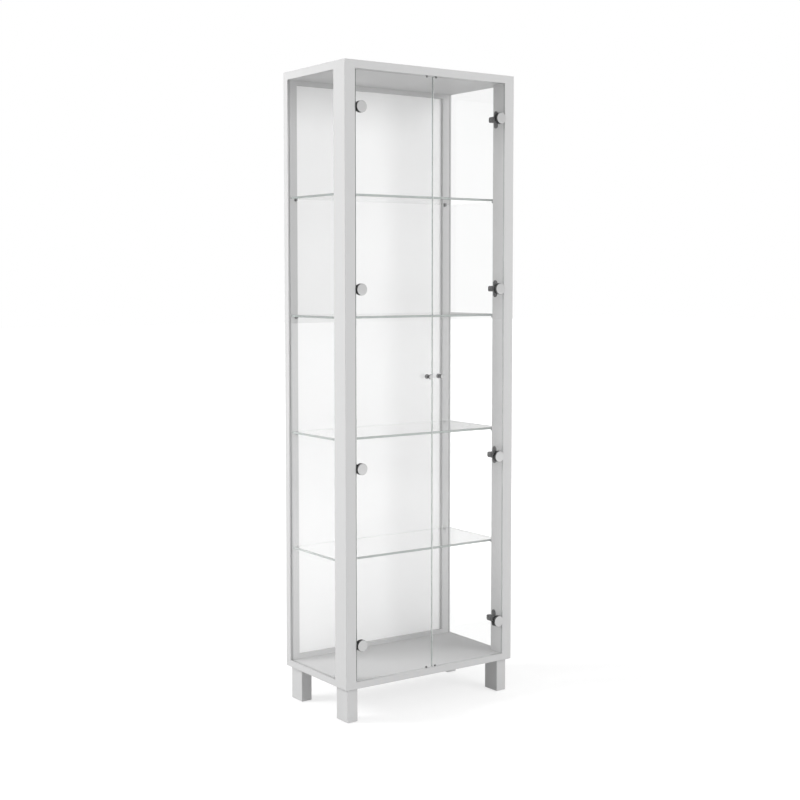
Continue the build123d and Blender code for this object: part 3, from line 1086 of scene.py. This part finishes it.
@dataclass
class ShelfPins:
    """The steel pins that carry the shelves, front and rear."""

    shop: Workshop
    pin_radius: float = 2.5 * MM
    tip_radius: float = 0.6 * MM
    in_post: float = 10.0 * MM
    collar_thickness: float = 1.0 * MM
    collar_turn: float = 0.3 * MM
    end_turn: float = 0.4 * MM
    sides: int = 32

    def row(self, node: str, facing: Facing) -> None:
        """All the pins of one row.

        Args:
            node: The CAD node that the row stands for.
            facing: Which way the pins point out of their post.
        """
        low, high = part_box(node)
        length = high.y - low.y
        out = length - self.in_post
        post_face = low.y + self.in_post if facing is Facing.BACK else high.y - self.in_post
        collar_radius = (high.z - low.z - self.shelf_span()) / 2
        outline = rounded(
            [
                (0.0, out, 0.0),
                (self.pin_radius, out, self.tip_radius),
                (self.pin_radius, self.collar_thickness, self.collar_turn),
                (collar_radius, self.collar_thickness, self.collar_turn),
                (collar_radius, 0.0, 0.0),
                (self.pin_radius, 0.0, 0.0),
                (self.pin_radius, -self.in_post, self.end_turn),
                (0.0, -self.in_post, 0.0),
            ]
        )
        shape = bmesh.new()
        for number in range(1, SHELVES + 1):
            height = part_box(f"shelf_{number}")[0].z - self.pin_radius
            for sign in (-1.0, 1.0):
                seat = Vector((sign * (high.x - collar_radius), post_face, height))
                turned(shape, outline, seat, facing, self.sides)
        piece = self.shop.piece(f"turned_{node}", shape, PIN_STEEL)
        self.shop.seat(piece, "cabinet", "shelf_pin_steel", [node])

    def shelf_span(self) -> float:
        """The height between the lowest and the highest shelf."""
        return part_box(f"shelf_{SHELVES}")[0].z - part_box("shelf_1")[0].z

    def build(self) -> None:
        """Makes both rows."""
        self.row("shelf_pins_front", Facing.BACK)
        self.row("shelf_pins_rear", Facing.FRONT)


@dataclass
class RubberParts:
    """The door stops on the boards and the glides under the legs."""

    shop: Workshop
    tip_share: float = 0.86
    tip_turn: float = 1.2 * MM
    waist_share: float = 0.94
    waist_height_share: float = 0.3
    waist_turn: float = 0.8 * MM
    foot_height_share: float = 0.22
    foot_turn: float = 0.3 * MM
    stop_sides: int = 32
    stem_radius: float = 2.5 * MM
    stem_turn: float = 0.6 * MM
    stem_sides: int = 24
    glide_thickness: float = 2.0 * MM
    glide_rim_share: float = 0.4
    glide_rim_turn: float = 0.4 * MM
    glide_sole_in: float = 0.8 * MM
    glide_turn: float = 0.3 * MM
    glide_sides: int = 40

    def stops(self, node: str, facing: Facing) -> None:
        """The two stops on one board."""
        low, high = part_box(node)
        radius = (high.y - low.y) / 2
        height = high.z - low.z
        seat_z = low.z if facing is Facing.UP else high.z
        outline = rounded(
            [
                (0.0, height, 0.0),
                (radius * self.tip_share, height, self.tip_turn),
                (radius * self.waist_share, height * self.waist_height_share, self.waist_turn),
                (radius, height * self.foot_height_share, self.foot_turn),
                (radius, 0.0, 0.0),
                (0.0, 0.0, 0.0),
            ]
        )
        shape = bmesh.new()
        for sign in (-1.0, 1.0):
            seat = Vector((sign * (high.x - radius), (low.y + high.y) / 2, seat_z))
            turned(shape, outline, seat, facing, self.stop_sides)
        piece = self.shop.piece(f"turned_{node}", shape, BLACK_RUBBER)
        self.shop.seat(piece, "cabinet", "black_rubber", [node])

    def glides(self) -> None:
        """The round glides with their stems in the legs."""
        low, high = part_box("foot_glides")
        thickness = self.glide_thickness
        stem = high.z - thickness
        outer = middle_of("leg_front_left").x - low.x
        glide = rounded(
            [
                (0.0, thickness, 0.0),
                (outer, thickness, self.glide_turn),
                (outer, thickness * self.glide_rim_share, self.glide_rim_turn),
                (outer - self.glide_sole_in, 0.0, self.glide_turn),
                (0.0, 0.0, 0.0),
            ]
        )
        peg = rounded(
            [
                (0.0, stem, 0.0),
                (self.stem_radius, stem, self.stem_turn),
                (self.stem_radius, 0.0, 0.0),
                (0.0, 0.0, 0.0),
            ]
        )
        shape = bmesh.new()
        for leg in both("leg_front", "leg_rear"):
            middle = middle_of(leg)
            turned(shape, glide, Vector((middle.x, middle.y, 0.0)), Facing.UP, self.glide_sides)
            turned(shape, peg, Vector((middle.x, middle.y, thickness)), Facing.UP, self.stem_sides)
        piece = self.shop.piece("turned_foot_glides", shape, GLIDE_PLASTIC)
        self.shop.seat(piece, "cabinet", "glide_plastic", ["foot_glides"])

    def build(self) -> None:
        """Makes the stops and the glides."""
        self.stops("door_stops_bottom", Facing.UP)
        self.stops("door_stops_top", Facing.DOWN)
        self.glides()


@dataclass(frozen=True)
class Softbox:
    """A square soft lamp that lights the cabinet but shows in no glass or metal."""

    name: str
    place: tuple[float, float, float]
    size: float
    power: float

    def build(self, target: Vector) -> None:
        """Makes the lamp, aimed at a point."""
        data = bpy.data.lights.new(self.name, "AREA")
        data.shape = "SQUARE"
        data.size = self.size
        data.energy = self.power
        place = Vector(self.place)
        lamp = bpy.data.objects.new(self.name, data)
        lamp.location = place
        lamp.rotation_euler = (target - place).to_track_quat("-Z", "Y").to_euler()
        lamp.visible_glossy = False
        lamp.visible_transmission = False
        bpy.context.scene.collection.objects.link(lamp)


@dataclass
class Studio:
    """White floor and surroundings, soft lamps and the camera."""

    floor_size: float = 60.0
    floor_glow: float = 0.68
    floor_albedo: float = 0.8
    floor_seen_albedo: float = 0.38
    fade_start: float = 0.9
    fade_end: float = 2.6
    sky_level: float = 0.64
    dark_end: tuple[float, float, float] = (0.12, 0.99, 0.0)
    dark_span: Point = (0.2, 0.75)
    dark_level: float = 0.5
    softboxes: tuple[Softbox, ...] = (
        Softbox("left_softbox", (-3.0, 1.6, 2.3), 1.4, 104.0),
        Softbox("front_softbox", (1.6, -4.0, 2.2), 2.4, 100.0),
    )
    aim: tuple[float, float, float] = (0.0, 0.0, 0.9)
    camera_place: tuple[float, float, float] = (-2.3225, -3.2985, 1.2187)
    camera_yaw: float = 35.074
    camera_pitch: float = 4.136
    camera_lens: float = 62.94
    camera_shift: float = -0.025
    camera_sensor: float = 36.0

    def seen(self, path: bpy.types.Node, sheet: NodeSheet) -> bpy.types.NodeSocket:
        """1 where a ray comes from the camera, straight or by way of glass and gloss."""
        direct = sheet.math("MAXIMUM", path.outputs["Is Camera Ray"], path.outputs["Is Glossy Ray"])
        return sheet.math("MAXIMUM", direct, path.outputs["Is Transmission Ray"])

    def world(self) -> None:
        """White surroundings that light at a plain level, with a greyer end in first reflections."""
        world = bpy.data.worlds.new("white_surroundings")
        bpy.context.scene.world = world
        world.use_nodes = True
        sheet = NodeSheet(world.node_tree)
        path = sheet.add("LightPath")
        white = sheet.stretch(self.seen(path, sheet), self.sky_level, 1.0)
        place = sheet.add("TexCoord").outputs["Generated"]
        towards = sheet.add("VectorMath", {0: place, 1: self.dark_end}, operation="DOT_PRODUCT")
        dark = sheet.ease(towards.outputs["Value"], self.dark_span, (1.0, self.dark_level))
        once = sheet.add("Math", {0: path.outputs["Glossy Depth"], 1: 1.0, 2: 0.5}, operation="COMPARE")
        share = sheet.mix(once.outputs[0], grey(1.0), dark)
        level = sheet.math("MULTIPLY", white, share)
        light = sheet.add("Background", {"Color": grey(1.0), "Strength": level})
        sheet.add("OutputWorld", {"Surface": light.outputs[0]})

    def floor(self) -> None:
        """A pale floor that reads as white and keeps the cabinet's shadow."""
        shape = bmesh.new()
        bmesh.ops.create_grid(shape, x_segments=1, y_segments=1, size=self.floor_size / 2)
        mesh = bpy.data.meshes.new("studio_floor")
        shape.to_mesh(mesh)
        shape.free()
        floor = bpy.data.objects.new("studio_floor", mesh)
        bpy.context.scene.collection.objects.link(floor)
        material = bpy.data.materials.new("floor_white")
        material.use_nodes = True
        sheet = NodeSheet(material.node_tree)
        path = sheet.add("LightPath")
        seen = self.seen(path, sheet)
        place = sheet.add("TexCoord").outputs["Object"]
        away = sheet.add("VectorMath", {0: place}, operation="LENGTH")
        fade = sheet.ease(away.outputs["Value"], (self.fade_start, self.fade_end), (self.floor_glow, 1.0))
        glow = sheet.math("MULTIPLY", seen, fade)
        light = sheet.add("Emission", {"Color": grey(1.0), "Strength": glow})
        level = sheet.stretch(seen, self.floor_albedo, self.floor_seen_albedo)
        tone = sheet.add("CombineColor", {0: level, 1: level, 2: level})
        matt = sheet.add("BsdfDiffuse", {"Color": tone.outputs[0]})
        both = sheet.add("AddShader", {0: light.outputs[0], 1: matt.outputs[0]})
        sheet.add("OutputMaterial", {"Surface": both.outputs[0]})
        mesh.materials.append(material)

    def camera(self) -> None:
        """The camera at the photograph's place."""
        data = bpy.data.cameras.new("camera")
        data.lens = self.camera_lens
        data.sensor_width = self.camera_sensor
        data.shift_y = self.camera_shift
        data.dof.use_dof = False
        camera = bpy.data.objects.new("camera", data)
        camera.location = self.camera_place
        camera.rotation_euler = (
            math.radians(90.0 - self.camera_pitch),
            0.0,
            math.radians(-self.camera_yaw),
        )
        bpy.context.scene.collection.objects.link(camera)
        bpy.context.scene.camera = camera

    def build(self) -> None:
        """Makes the studio."""
        self.world()
        self.floor()
        for softbox in self.softboxes:
            softbox.build(Vector(self.aim))
        self.camera()
        bpy.context.scene.view_settings.view_transform = "Standard"


def dress_nodes(shop: Workshop) -> None:
    """Gives every CAD node that stays its finish."""
    for finish, nodes in NODE_FINISHES.items():
        for node in nodes:
            shop.paint(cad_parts[node], finish)
            log.info("%s has %s", node, finish.name)


def main() -> None:
    """Builds the pieces in order, then the studio."""
    logging.basicConfig(level=logging.INFO, format="%(name)s: %(message)s")
    shop = Workshop()
    dress_nodes(shop)
    Hinges(shop).build()
    Knobs(shop).build()
    ShelfPins(shop).build()
    RubberParts(shop).build()
    Studio().build()


if __name__ == "__main__":
    main()
